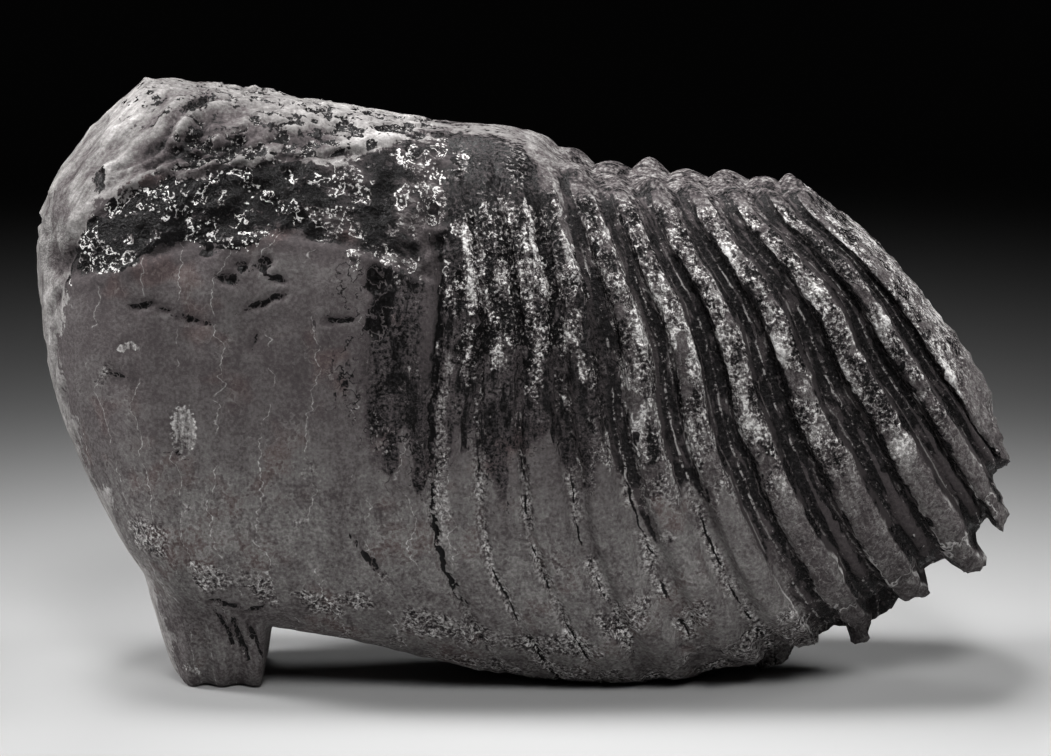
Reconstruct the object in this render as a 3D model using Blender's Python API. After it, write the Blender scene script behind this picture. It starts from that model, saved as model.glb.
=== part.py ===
"""A fossil mammoth molar: one solid tooth, standing on a front root and the belly of its crown.

The crown is a stack of upright plates side by side, numbered from the front of the tooth (0) to
its back (PLATE_COUNT), with a groove at each whole number and a rib at each half. Smooth cement
hides the front plates. Towards the back they stand out as ribs, end above in two rows of finger
tips, and fan apart below into loose, broken feet. The outside is one skin: a flat sheet of points
rolled round the stack, with its columns along the plates. +X runs to the back of the tooth, +Y
across it and +Z up, with the origin in the middle of the footprint.
"""

import math

import bmesh
import bpy
from mathutils import Vector, noise

# Driving dimensions, in metres.
PLATE_COUNT = 18
CROWN_HALF_WIDTH = 0.043
CROWN_HALF_HEIGHT = 0.072
GROOVE_DEPTH = 0.0038
CREST_ROUNDING = 0.0010
FOOT_NOTCH = 0.0085
TIP_NOTCH = 0.0012
TIP_HEIGHT = 0.0030
TIP_VALLEY = 0.0030
LUMP_HEIGHT = 0.0013
LUMP_SIZE = 0.013
LUMP_SEED = 4
BAND_DEPTH = 0.0014
BAND_EDGE = 0.0014

# The front root, a broken stub under the front of the crown. Skin under ROOT_TOP is drawn down to
# the ground there, all the way where it starts under ROOT_FULL.
ROOT_TOP = 0.030
ROOT_FULL = 0.017
ROOT_BACK_X = -0.0690
ROOT_HALF_WIDTH = 0.013
ROOT_SIDE_SLOPE = 0.0160
ROOT_BACK_SLOPE = 0.0030
FLUTE_DEPTH = 0.0012
FLUTE_PITCH = 0.0085

# The flaked band under the front shoulders, where the cement is gone: (x, z) along its two edges.
BAND_FOOT = ((-0.118, 0.109), (-0.099, 0.115), (-0.073, 0.122), (-0.045, 0.120), (-0.024, 0.112))
BAND_TOP = ((-0.112, 0.123), (-0.098, 0.134), (-0.071, 0.140), (-0.045, 0.143), (-0.021, 0.145))
BAND_BACK_X = (-0.032, -0.020)

# Broken root nubs under the back of the crown, each as (x, y), radius and reach, and the share of
# the radius that is flat. Then the plate of a splinter at the back, and how far it stands out.
NUBS = (
    ((0.066, 0.004), 0.0070, 0.0062),
    ((0.080, 0.006), 0.0060, 0.0050),
    ((0.091, 0.002), 0.0080, 0.0070),
)
NUB_FLAT = 0.55
SPLINTER_PLATE = 17.13
SPLINTER_REACH = 0.0042

# Guide plates on the tooth's middle plane: the plate's number, then (x, z) at LEVELS down it.
LEVELS = (0.0, 0.25, 0.5, 0.75, 1.0)
GUIDE_PLATES = (
    (0.0, (-0.0975, 0.158), (-0.1235, 0.127), (-0.123, 0.080), (-0.1065, 0.039), (-0.088, 0.014)),
    (3.0, (-0.070, 0.154), (-0.082, 0.115), (-0.084, 0.079), (-0.082, 0.044), (-0.0715, 0.016)),
    (5.0, (-0.048, 0.150), (-0.053, 0.113), (-0.055, 0.078), (-0.053, 0.046), (-0.045, 0.011)),
    (7.0, (-0.026, 0.146), (-0.021, 0.108), (-0.024, 0.072), (-0.021, 0.039), (-0.004, 0.001)),
    (10.0, (-0.001, 0.143), (0.007, 0.106), (0.010, 0.070), (0.017, 0.037), (0.035, -0.002)),
    (12.0, (0.017, 0.135), (0.031, 0.103), (0.039, 0.066), (0.051, 0.034), (0.067, 0.006)),
    (14.0, (0.036, 0.132), (0.054, 0.105), (0.065, 0.074), (0.079, 0.045), (0.095, 0.018)),
    (16.0, (0.056, 0.130), (0.077, 0.111), (0.092, 0.086), (0.108, 0.060), (0.123, 0.034)),
    (18.0, (0.071, 0.129), (0.089, 0.116), (0.103, 0.101), (0.1145, 0.083), (0.1245, 0.070)),
)

# Shares along the crown, each as (plate, share) pairs read along a smooth curve.
WIDTH_SHARES = ((0.0, 0.78), (3.0, 0.92), (6.0, 1.0), (10.0, 1.0), (13.0, 0.94), (16.0, 0.80), (18.0, 0.64))
GROOVE_SHARES = (
    (0.0, 0.04),
    (6.0, 0.10),
    (7.0, 0.40),
    (8.0, 0.30),
    (10.0, 0.6),
    (12.0, 0.9),
    (17.2, 1.0),
    (17.6, 0.2),
    (18.0, 0.1),
)
FOOT_NOTCH_SHARES = ((0.0, 0.0), (9.0, 0.06), (12.0, 0.25), (14.0, 0.7), (15.5, 1.0), (18.0, 1.0))
FRONT_ROUNDING = 2.4
BACK_ROUNDING = 0.9
GROOVE_HALF_WIDTH = 0.234
WORN_PLATES = 10.0
UNWORN_PLATES = 12.0
LUMPY_PLATES = 3.0
EVEN_PLATES = 8.0
LEAST_LUMPS = 0.25
VALLEY_SHARPNESS = 8
TOP_GROOVE = 0.3
TIP_DIP = 0.55
TIP_UNEVEN = 0.9
TIP_CHANGE = 0.7
TIP_CHANCE = 5.0
SEAMED_PLATES = 8.5
RIBBED_PLATES = 10.5
NARROWING = 1.8

# How square a plate's ring is: at the top in front and behind, and at the foot in front and behind.
FRONT_SQUARENESS = 3.4
BACK_SQUARENESS = 2.6
FRONT_FOOT_SQUARENESS = 3.0
FOOT_SQUARENESS = 2.2

# Heights round a ring, from -1 at its foot to 1 at its top, between which each form comes in.
TOP_EDGE = (0.75, 1.0)
LUMPY_EDGE = (0.1, 0.6)
FOOT_NOTCH_EDGE = (-0.4, -1.0)
NUB_EDGE = (-0.5, -0.8)
SPLINTER_EDGE = (-0.8, -1.0)

# The skin's points: round each ring, and at these places in a smooth plate and in a ribbed one.
RING_POINTS = 60
STEPS_PER_POINT = 20
GROOVE_REACH = 0.13
SMOOTH_PLATES = 6
SMOOTH_STATIONS = (0.0, 0.33, 0.67)
RIBBED_STATIONS = (0.0, GROOVE_REACH, 0.36, 0.64, 1.0 - GROOVE_REACH)
WELD_DISTANCE = 0.00001

ENAMEL_COLOUR = (0.075, 0.068, 0.066, 1.0)
ENAMEL_ROUGHNESS = 0.45


def eased(start, end, at):
    """0 at start, 1 at end and a smooth climb between them. It falls where end is below start."""
    share = min(max((at - start) / (end - start), 0.0), 1.0)
    return share * share * (3.0 - 2.0 * share)


def along(pairs, at):
    """The value at this place on a smooth curve through (place, value) pairs."""
    last = len(pairs) - 1
    at = min(max(at, pairs[0][0]), pairs[last][0])
    first = max(index for index in range(last) if pairs[index][0] <= at)

    def slope(index):
        before, after = pairs[max(index - 1, 0)], pairs[min(index + 1, last)]
        return (after[1] - before[1]) / (after[0] - before[0])

    (start, low), (end, high) = pairs[first], pairs[first + 1]
    run = end - start
    share = (at - start) / run
    from_low = low + share * share * (3.0 - 2.0 * share) * (high - low)
    turn_out = slope(first) * share * (1.0 - share) ** 2
    turn_in = slope(first + 1) * share * share * (share - 1.0)
    return from_low + run * (turn_out + turn_in)


def middle_line(plate):
    """The (x, z) pairs of this plate at LEVELS, on the tooth's middle plane."""
    return [
        (
            along([(guide[0], guide[1 + row][0]) for guide in GUIDE_PLATES], plate),
            along([(guide[0], guide[1 + row][1]) for guide in GUIDE_PLATES], plate),
        )
        for row in range(len(LEVELS))
    ]


def half_width(plate):
    """Half the crown's width at this plate, rounded off to nothing at both ends."""
    front = min(plate / FRONT_ROUNDING, 1.0)
    back = min((PLATE_COUNT - plate) / BACK_ROUNDING, 1.0)
    ends = math.sqrt(front * (2.0 - front)) * math.sqrt(back * (2.0 - back))
    return CROWN_HALF_WIDTH * along(WIDTH_SHARES, plate) * ends


def ring_place(turn, squareness):
    """How far up and across (-1 to 1) a ring is at this turn from the middle of its top."""
    up, across = math.cos(turn), math.sin(turn)
    return (
        math.copysign(abs(up) ** (2.0 / squareness), up),
        math.copysign(abs(across) ** (2.0 / squareness), across),
    )


def even_turns():
    """The turns that space a ring's points evenly along the skin, alike on both its sides."""
    steps = STEPS_PER_POINT * RING_POINTS
    squareness = (BACK_SQUARENESS + FOOT_SQUARENESS) / 2.0
    places = [ring_place(math.pi * step / steps, squareness) for step in range(steps + 1)]
    travel = [0.0]
    for (up, across), (next_up, next_across) in zip(places, places[1:]):
        rise = CROWN_HALF_HEIGHT * (next_up - up)
        run = CROWN_HALF_WIDTH * (next_across - across)
        travel.append(travel[-1] + math.hypot(rise, run))
    side_points = RING_POINTS // 2
    side = []
    step = 0
    for point in range(side_points + 1):
        while step < steps and travel[step] < travel[-1] * point / side_points:
            step += 1
        side.append(math.pi * step / steps)
    return side + [math.tau - turn for turn in reversed(side[:-1])]


def groove_share(plate):
    """1 in the bottom of a groove between two plates and 0 on the rib of a plate."""
    narrowing = 1.0 + NARROWING * eased(RIBBED_PLATES, SEAMED_PLATES, plate)
    return eased(GROOVE_HALF_WIDTH, 0.0, abs(plate - round(plate)) * narrowing)


def crest_share(plate):
    """1 along the middle of a plate, falling in a round rib to 0 at its grooves."""
    return math.sin(math.pi * (plate % 1.0))


def band_share(x, z):
    """1 inside the flaked band and 0 off it, by place along and up the tooth's side."""
    above = eased(-BAND_EDGE, BAND_EDGE, z - along(BAND_FOOT, x))
    below = eased(BAND_EDGE, -BAND_EDGE, z - along(BAND_TOP, x))
    return above * below * eased(BAND_BACK_X[1], BAND_BACK_X[0], x)


def lump_share(plate, up):
    """How lumpy the skin is: most where the worn front end meets the top."""
    more = eased(EVEN_PLATES, LUMPY_PLATES, plate) * eased(*LUMPY_EDGE, up)
    return LEAST_LUMPS + (1.0 - LEAST_LUMPS) * more


def root_share(x, y, z):
    """1 where the front root draws the skin down to the ground, and 0 off the root."""
    over_root = eased(ROOT_BACK_X + ROOT_BACK_SLOPE, ROOT_BACK_X, x)
    over_root *= eased(ROOT_HALF_WIDTH + ROOT_SIDE_SLOPE, ROOT_HALF_WIDTH, abs(y))
    return over_root * eased(ROOT_TOP, ROOT_FULL, z)


def ring_squareness(plate, turn):
    """How square this plate's ring is at this turn."""
    if math.cos(turn) > 0.0:
        return FRONT_SQUARENESS + (BACK_SQUARENESS - FRONT_SQUARENESS) * plate / PLATE_COUNT
    in_front = eased(EVEN_PLATES, LUMPY_PLATES, plate)
    return FOOT_SQUARENESS + (FRONT_FOOT_SQUARENESS - FOOT_SQUARENESS) * in_front


def skin_point(plate, turn):
    """The point of the skin on this plate, at this turn from the middle of its top."""
    up, across = ring_place(turn, ring_squareness(plate, turn))
    unworn = eased(WORN_PLATES, UNWORN_PLATES, plate)
    over_top = eased(*TOP_EDGE, up)
    under_nubs = eased(*NUB_EDGE, up)
    under_splinter = eased(*SPLINTER_EDGE, up)
    lumps = LUMP_HEIGHT * lump_share(plate, up)

    groove = groove_share(plate)
    off_crest = 1.0 - crest_share(plate)
    cut = along(GROOVE_SHARES, plate) * (1.0 - over_top * (1.0 - TOP_GROOVE * unworn))
    depth = cut * (GROOVE_DEPTH * groove + CREST_ROUNDING * off_crest)
    notch = FOOT_NOTCH * along(FOOT_NOTCH_SHARES, plate) * eased(*FOOT_NOTCH_EDGE, up) * groove
    notch += TIP_NOTCH * unworn * over_top * off_crest
    up *= 1.0 - notch / CROWN_HALF_HEIGHT

    line = middle_line(plate)
    level = (1.0 - up) / 2.0
    x = along([(place, point[0]) for place, point in zip(LEVELS, line)], level)
    z = along([(place, point[1]) for place, point in zip(LEVELS, line)], level)
    depth += BAND_DEPTH * band_share(x, z)
    y = max(half_width(plate) - depth, 0.0) * across
    chance = noise.noise(Vector((TIP_CHANGE * plate, across * (PLATE_COUNT - plate), TIP_CHANCE)))
    tips = math.sin(math.pi * across) ** 2 * (1.0 - TIP_DIP * off_crest) * (1.0 + TIP_UNEVEN * chance)
    valley = math.cos(math.pi * across / 2.0) ** VALLEY_SHARPNESS
    z += unworn * over_top * (TIP_HEIGHT * tips - TIP_VALLEY * valley)

    for (nub_x, nub_y), radius, reach in NUBS:
        off_nub = math.hypot(x - nub_x, y - nub_y)
        z -= reach * under_nubs * eased(radius, NUB_FLAT * radius, off_nub)
    x += SPLINTER_REACH * under_splinter * eased(GROOVE_REACH, 0.0, abs(plate - SPLINTER_PLATE))

    root = root_share(x, y, z)
    z *= 1.0 - root
    y += FLUTE_DEPTH * root * math.sin(math.tau * x / FLUTE_PITCH)
    point = Vector((x, y, z))
    return point + lumps * noise.noise_vector(point / LUMP_SIZE)


def build_tooth():
    """One closed skin: a sheet rolled round the stack of plates and drawn together at its ends."""
    noise.seed_set(LUMP_SEED)
    stations = [plate + share for plate in range(SMOOTH_PLATES) for share in SMOOTH_STATIONS]
    stations += [
        plate + share for plate in range(SMOOTH_PLATES, PLATE_COUNT) for share in RIBBED_STATIONS
    ]
    stations.append(float(PLATE_COUNT))
    turns = even_turns()
    skin = bmesh.new()
    columns = len(stations) - 1
    bmesh.ops.create_grid(skin, x_segments=columns, y_segments=RING_POINTS, size=0.5)
    for vert in skin.verts:
        column = round((vert.co.x + 0.5) * columns)
        row = round((vert.co.y + 0.5) * RING_POINTS)
        vert.co = skin_point(stations[column], turns[row])
    bmesh.ops.remove_doubles(skin, verts=skin.verts, dist=WELD_DISTANCE)
    bmesh.ops.recalc_face_normals(skin, faces=skin.faces)
    for vert in skin.verts:
        vert.co.z = max(vert.co.z, 0.0)
    ends = [pick(vert.co.x for vert in skin.verts) for pick in (min, max)]
    sides = [pick(vert.co.y for vert in skin.verts) for pick in (min, max)]
    middle = Vector((sum(ends) / 2.0, sum(sides) / 2.0, 0.0))
    bmesh.ops.translate(skin, vec=-middle, verts=skin.verts)
    mesh = bpy.data.meshes.new("tooth")
    skin.to_mesh(mesh)
    skin.free()
    return mesh


def fossil_material():
    """Dark, half-glossy fossil enamel and cement."""
    material = bpy.data.materials.new("fossil_enamel")
    material.use_nodes = True
    shader = material.node_tree.nodes["Principled BSDF"]
    shader.inputs["Base Color"].default_value = ENAMEL_COLOUR
    shader.inputs["Roughness"].default_value = ENAMEL_ROUGHNESS
    shader.inputs["Metallic"].default_value = 0.0
    return material


def main():
    for scene_object in list(bpy.data.objects):
        bpy.data.objects.remove(scene_object, do_unlink=True)
    tooth = bpy.data.objects.new("tooth", build_tooth())
    tooth.data.materials.append(fossil_material())
    tooth.data.shade_smooth()
    bpy.context.scene.collection.objects.link(tooth)


main()
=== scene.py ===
"""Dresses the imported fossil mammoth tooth: its skin, its finish and a plain studio stage round it.

The tooth's skin is rolled round the same stack of upright plates as the solid that it replaces,
with far more points. Plates are numbered from the front of the tooth (0) to its back, with a groove
at each whole number, and "level" runs from 0 on the chewing surface to 1 at the plates' feet.
"""

import math
import random

import bmesh
import bpy
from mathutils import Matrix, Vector, noise


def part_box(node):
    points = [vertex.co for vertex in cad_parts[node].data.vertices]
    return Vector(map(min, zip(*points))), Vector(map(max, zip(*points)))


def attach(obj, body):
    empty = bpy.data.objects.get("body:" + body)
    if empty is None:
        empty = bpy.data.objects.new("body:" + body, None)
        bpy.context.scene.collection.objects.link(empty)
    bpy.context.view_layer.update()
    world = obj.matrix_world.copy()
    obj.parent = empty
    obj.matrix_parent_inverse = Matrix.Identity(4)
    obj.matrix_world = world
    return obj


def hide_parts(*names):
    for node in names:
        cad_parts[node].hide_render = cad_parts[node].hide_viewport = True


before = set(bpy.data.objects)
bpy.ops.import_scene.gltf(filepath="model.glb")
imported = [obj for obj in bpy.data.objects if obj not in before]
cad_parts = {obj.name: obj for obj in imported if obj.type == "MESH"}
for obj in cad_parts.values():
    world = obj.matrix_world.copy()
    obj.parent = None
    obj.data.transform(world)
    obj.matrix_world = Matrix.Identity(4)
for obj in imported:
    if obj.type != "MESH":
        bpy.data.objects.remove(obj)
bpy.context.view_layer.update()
TOOTH_LOW, TOOTH_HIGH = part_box("tooth")

bl_info = {
    "name": "Fossil Mammoth Tooth",
    "version": (1, 0, 0),
    "blender": (4, 5, 0),
    "location": "3D View > Sidebar > Fossil Tooth",
    "description": "Builds the skin, the finish and the studio stage of a fossil mammoth tooth",
    "category": "Add Mesh",
}

PLATE_COUNT = 18
GUIDE_SHIFT = -0.0010  # from the guides' own middle to the middle of the footprint
CROWN_HALF_HEIGHT = 0.072

# Guide plates on the tooth's middle plane: the plate's number, then (x, z) at LEVELS down it.
LEVELS = (0.0, 0.25, 0.5, 0.75, 1.0)
GUIDE_PLATES = (
    (0.0, (-0.0975, 0.158), (-0.1235, 0.127), (-0.123, 0.080), (-0.1065, 0.039), (-0.088, 0.014)),
    (3.0, (-0.070, 0.154), (-0.082, 0.115), (-0.084, 0.079), (-0.082, 0.044), (-0.0715, 0.016)),
    (5.0, (-0.048, 0.150), (-0.053, 0.113), (-0.055, 0.078), (-0.053, 0.046), (-0.045, 0.011)),
    (7.0, (-0.026, 0.146), (-0.021, 0.108), (-0.024, 0.072), (-0.021, 0.039), (-0.004, 0.001)),
    (10.0, (-0.001, 0.143), (0.007, 0.106), (0.010, 0.070), (0.017, 0.037), (0.035, -0.002)),
    (12.0, (0.017, 0.135), (0.031, 0.103), (0.039, 0.066), (0.051, 0.034), (0.067, 0.006)),
    (14.0, (0.036, 0.132), (0.054, 0.105), (0.065, 0.074), (0.079, 0.045), (0.095, 0.018)),
    (16.0, (0.056, 0.130), (0.077, 0.111), (0.092, 0.086), (0.108, 0.060), (0.123, 0.034)),
    (18.0, (0.071, 0.129), (0.089, 0.116), (0.103, 0.101), (0.1145, 0.083), (0.1245, 0.070)),
)

# Shares along the crown, each as (plate, share) pairs read along a smooth curve.
WIDTH_SHARES = ((0.0, 0.78), (3.0, 0.92), (6.0, 1.0), (10.0, 1.0), (13.0, 0.94), (16.0, 0.80), (18.0, 0.64))
GROOVE_SHARES = (
    (0.0, 0.04), (6.0, 0.10), (7.0, 0.40), (8.0, 0.30), (10.0, 0.6),
    (12.0, 0.9), (17.2, 1.0), (17.6, 0.2), (18.0, 0.1),
)
FOOT_NOTCH_SHARES = ((0.0, 0.0), (9.0, 0.06), (12.0, 0.25), (14.0, 0.7), (15.5, 1.0), (18.0, 1.0))
LUMP_SEED = 4
FRONT_ROUNDING = 2.4
BACK_ROUNDING = 0.9
WORN_PLATES = 10.0
UNWORN_PLATES = 12.0
LUMPY_PLATES = 3.0
EVEN_PLATES = 8.0
LEAST_LUMPS = 0.25
VALLEY_SHARPNESS = 8
TOP_GROOVE = 0.3
TIP_DIP = 0.55
TIP_UNEVEN = 0.9
TIP_CHANGE = 0.7
TIP_CHANCE = 5.0
SEAMED_PLATES = 8.5
RIBBED_PLATES = 10.5
NARROWING = 1.8

# How square a plate's ring is: at the top in front and behind, and at the foot in front and behind.
FRONT_SQUARENESS = 3.4
BACK_SQUARENESS = 2.6
FRONT_FOOT_SQUARENESS = 3.0
FOOT_SQUARENESS = 2.2

# Heights round a ring, from -1 at its foot to 1 at its top, between which each form comes in.
TOP_EDGE = (0.75, 1.0)
LUMPY_EDGE = (0.1, 0.6)
FOOT_NOTCH_EDGE = (-0.4, -1.0)
NUB_EDGE = (-0.5, -0.8)
SPLINTER_EDGE = (-0.8, -1.0)

# The front root, the root nubs as (x, y), radius and reach, and the splinter at the back.
ROOT_TOP = 0.030
ROOT_FULL = 0.017
ROOT_BACK_X = -0.0690
ROOT_HALF_WIDTH = 0.013
ROOT_SIDE_SLOPE = 0.0160
ROOT_BACK_SLOPE = 0.0030
FLUTE_DEPTH = 0.0012
FLUTE_PITCH = 0.0085
NUBS = (
    ((0.066, 0.004), 0.0070, 0.0062),
    ((0.080, 0.006), 0.0060, 0.0050),
    ((0.091, 0.002), 0.0080, 0.0070),
)
NUB_FLAT = 0.55
SPLINTER_PLATE = 17.13
SPLINTER_REACH = 0.0042
SPLINTER_SHARE = 0.13

# Lines up the tooth's side, each as (x, z): the flaked band's two edges and the worn skin's lower edge.
BAND_FOOT = ((-0.118, 0.109), (-0.099, 0.115), (-0.073, 0.122), (-0.045, 0.120), (-0.024, 0.112))
BAND_TOP = ((-0.112, 0.123), (-0.098, 0.134), (-0.071, 0.140), (-0.045, 0.143), (-0.021, 0.145))
BAND_BACK_X = (-0.032, -0.020)
BAND_EDGE = 0.0014
WORN_EDGE = (
    (-0.127, 0.040), (-0.122, 0.085), (-0.112, 0.122), (-0.098, 0.134), (-0.071, 0.140), (-0.045, 0.142),
    (-0.021, 0.1447), (0.000, 0.1422), (0.017, 0.1380), (0.036, 0.1315), (0.070, 0.1290),
)

# The skin's points: round each ring, and along the smooth plates and the ribbed ones.
RING_POINTS = 328
STEPS_PER_POINT = 20
TOP_CROWDING = 0.7
TOP_CROWDING_EDGE = (-0.2, 0.5)
SMOOTH_PLATES = 6
SMOOTH_STATIONS = 14
RIBBED_STATIONS = 18
WELD_DISTANCE = 0.00001


def eased(start, end, at):
    """0 at start, 1 at end and a smooth climb between them. It falls where end is below start."""
    share = min(max((at - start) / (end - start), 0.0), 1.0)
    return share * share * (3.0 - 2.0 * share)


def along(pairs, at):
    """The value at this place on a smooth curve through (place, value) pairs."""
    last = len(pairs) - 1
    at = min(max(at, pairs[0][0]), pairs[last][0])
    first = max(index for index in range(last) if pairs[index][0] <= at)

    def slope(index):
        before, after = pairs[max(index - 1, 0)], pairs[min(index + 1, last)]
        return (after[1] - before[1]) / (after[0] - before[0])

    (start, low), (end, high) = pairs[first], pairs[first + 1]
    run = end - start
    share = (at - start) / run
    from_low = low + share * share * (3.0 - 2.0 * share) * (high - low)
    turn_out = slope(first) * share * (1.0 - share) ** 2
    turn_in = slope(first + 1) * share * share * (share - 1.0)
    return from_low + run * (turn_out + turn_in)


# ---- the tooth's form


class Ring:
    """One plate's ring: the figures that all its points share."""

    def __init__(self, form, plate):
        self.plate = plate
        self.xs, self.zs = (
            [
                (down, along([(guide[0], guide[1 + row][axis]) for guide in GUIDE_PLATES], plate))
                for row, down in enumerate(LEVELS)
            ]
            for axis in range(2)
        )
        front = min(plate / FRONT_ROUNDING, 1.0)
        back = min((PLATE_COUNT - plate) / BACK_ROUNDING, 1.0)
        ends = math.sqrt(front * (2.0 - front)) * math.sqrt(back * (2.0 - back))
        self.half_width = form.crown_half_width * along(WIDTH_SHARES, plate) * ends
        self.unworn = eased(WORN_PLATES, UNWORN_PLATES, plate)
        self.in_front = eased(EVEN_PLATES, LUMPY_PLATES, plate)
        self.groove = along(GROOVE_SHARES, plate)
        self.notch = form.foot_notch * along(FOOT_NOTCH_SHARES, plate)
        self.top_squareness = FRONT_SQUARENESS + (BACK_SQUARENESS - FRONT_SQUARENESS) * plate / PLATE_COUNT
        self.foot_squareness = FOOT_SQUARENESS + (FRONT_FOOT_SQUARENESS - FOOT_SQUARENESS) * self.in_front
        self.off_crest = 1.0 - math.sin(math.pi * (plate % 1.0))
        self.narrowing = 1.0 + NARROWING * eased(RIBBED_PLATES, SEAMED_PLATES, plate)


def ring_place(turn, squareness):
    """How far up and across (-1 to 1) a ring is at this turn from the middle of its top."""
    up, across = math.cos(turn), math.sin(turn)
    return (
        math.copysign(abs(up) ** (2.0 / squareness), up),
        math.copysign(abs(across) ** (2.0 / squareness), across),
    )


def ring_turns(half_width):
    """The turns of a ring's points, alike on both sides and closest together over the top."""
    steps = STEPS_PER_POINT * RING_POINTS
    squareness = (BACK_SQUARENESS + FOOT_SQUARENESS) / 2.0
    places = [ring_place(math.pi * step / steps, squareness) for step in range(steps + 1)]
    travel = [0.0]
    for (up, across), (next_up, next_across) in zip(places, places[1:]):
        rise = CROWN_HALF_HEIGHT * (next_up - up)
        run = half_width * (next_across - across)
        crowd = 1.0 + TOP_CROWDING * eased(*TOP_CROWDING_EDGE, up)
        travel.append(travel[-1] + crowd * math.hypot(rise, run))
    side_points = RING_POINTS // 2
    side = []
    step = 0
    for point in range(side_points + 1):
        while step < steps and travel[step] < travel[-1] * point / side_points:
            step += 1
        side.append(math.pi * step / steps)
    return side + [math.tau - turn for turn in reversed(side[:-1])]


def band_share(x, z):
    """1 inside the flaked band and 0 off it, by place along and up the tooth's side."""
    above = eased(-BAND_EDGE, BAND_EDGE, z - along(BAND_FOOT, x))
    below = eased(BAND_EDGE, -BAND_EDGE, z - along(BAND_TOP, x))
    return above * below * eased(BAND_BACK_X[1], BAND_BACK_X[0], x)


def skin_point(form, ring, turn):
    """The point of the smooth skin on this ring, at this turn from the middle of its top.

    With it come its level and its own plate number, which strays a little from the ring's.
    """
    up, across = ring_place(turn, ring.top_squareness if math.cos(turn) > 0.0 else ring.foot_squareness)
    plate = ring.plate + form.groove_wander * noise.noise(Vector((0.9 * ring.plate, 4.0 * up, 3.0 * across)))
    over_top = eased(*TOP_EDGE, up)
    under_nubs = eased(*NUB_EDGE, up)
    under_splinter = eased(*SPLINTER_EDGE, up)
    lumpy = LEAST_LUMPS + (1.0 - LEAST_LUMPS) * ring.in_front * eased(*LUMPY_EDGE, up)

    off_groove = abs(plate - round(plate)) * ring.narrowing
    valley = 1.0 - eased(form.groove_floor, form.groove_edge, off_groove)
    cut = ring.groove * (1.0 - over_top * (1.0 - TOP_GROOVE * ring.unworn))
    depth = cut * (form.groove_depth * valley + form.crest_rounding * ring.off_crest)
    depth -= cut * form.enamel_line * eased(2.0 * form.groove_floor, 0.0, off_groove)
    notch = ring.notch * eased(*FOOT_NOTCH_EDGE, up) * valley
    notch += form.tip_notch * ring.unworn * over_top * ring.off_crest
    up *= 1.0 - notch / CROWN_HALF_HEIGHT

    level = (1.0 - up) / 2.0
    x = along(ring.xs, level)
    z = along(ring.zs, level)
    depth += form.band_depth * band_share(x, z)
    y = max(ring.half_width - depth, 0.0) * across
    middle = math.cos(math.pi * across / 2.0) ** VALLEY_SHARPNESS
    chance = noise.noise(Vector((TIP_CHANGE * ring.plate, across * (PLATE_COUNT - ring.plate), TIP_CHANCE)))
    tips = math.sin(math.pi * across) ** 2 * (1.0 - TIP_DIP * ring.off_crest) * (1.0 + TIP_UNEVEN * chance)
    z += ring.unworn * over_top * (form.tip_height * tips - form.tip_valley * middle)

    for (nub_x, nub_y), radius, reach in NUBS:
        off_nub = math.hypot(x - nub_x, y - nub_y)
        z -= reach * under_nubs * eased(radius, NUB_FLAT * radius, off_nub)
    x += SPLINTER_REACH * under_splinter * eased(SPLINTER_SHARE, 0.0, abs(ring.plate - SPLINTER_PLATE))

    root = eased(ROOT_BACK_X + ROOT_BACK_SLOPE, ROOT_BACK_X, x)
    root *= eased(ROOT_HALF_WIDTH + ROOT_SIDE_SLOPE, ROOT_HALF_WIDTH, abs(y))
    root *= eased(ROOT_TOP, ROOT_FULL, z)
    z *= 1.0 - root
    y += FLUTE_DEPTH * root * math.sin(math.tau * x / FLUTE_PITCH)
    point = Vector((x, y, z))
    point += form.lump_height * lumpy * noise.noise_vector(point / form.lump_size)
    return point, level, plate


def station_plates():
    """The plate numbers of the skin's rings, from the front to the back."""
    plates = [step / SMOOTH_STATIONS for step in range(SMOOTH_PLATES * SMOOTH_STATIONS)]
    ribbed = (PLATE_COUNT - SMOOTH_PLATES) * RIBBED_STATIONS
    return plates + [SMOOTH_PLATES + step / RIBBED_STATIONS for step in range(ribbed + 1)]


# ---- marks and relief on the skin

# Marks on the near side: x and z of the middle, half length and half height in millimetres, lean in degrees.
CHIPS = (
    (-78.5, 119.6, 2.2, 1.3, 0),
    (-70.8, 115.6, 1.6, 1.2, 0),
    (-74.1, 112.3, 2.7, 1.2, -20),
    (-65.1, 116.1, 2.4, 1.1, 25),
    (-62.0, 112.8, 2.4, 0.6, -10),
    (-96.2, 105.2, 3.6, 0.6, 12),
    (-88.7, 103.7, 3.6, 0.6, -16),
    (-82.3, 101.4, 3.6, 0.6, -14),
    (-65.0, 106.5, 6.0, 0.7, 20),
    (-46.8, 102.4, 3.6, 0.8, 4),
    (-37.3, 112.0, 3.0, 4.0, 0),
    (-36.3, 103.0, 2.6, 6.0, -10),
    (-67.8, 96.8, 1.8, 0.6, 70),
    (-101.8, 87.1, 3.8, 0.6, -4),
    (-86.8, 67.2, 3.0, 0.7, -12),
    (-41.3, 42.3, 6.2, 0.5, -57),
    (-38.3, 39.0, 6.6, 0.5, -54),
    (-107.8, 135.2, 1.5, 2.6, 0),
    (-83.3, 153.6, 2.8, 1.1, 20),
    (-77.0, 18.0, 6.2, 0.6, 112),
    (-73.5, 15.0, 6.6, 0.6, 106),
    (-69.5, 15.5, 5.6, 0.7, 112),
    (-77.0, 26.2, 5.0, 0.5, -14),
    (-70.0, 24.6, 4.0, 0.5, 16),
)
SCARS = (
    (-86.0, 73.5, 2.8, 5.8, 0),
    (-100.4, 94.3, 3.4, 1.0, 8),
    (36.0, 46.2, 1.7, 1.3, 0),
    (-86.8, 5.2, 3.4, 1.0, -22),
)
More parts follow.
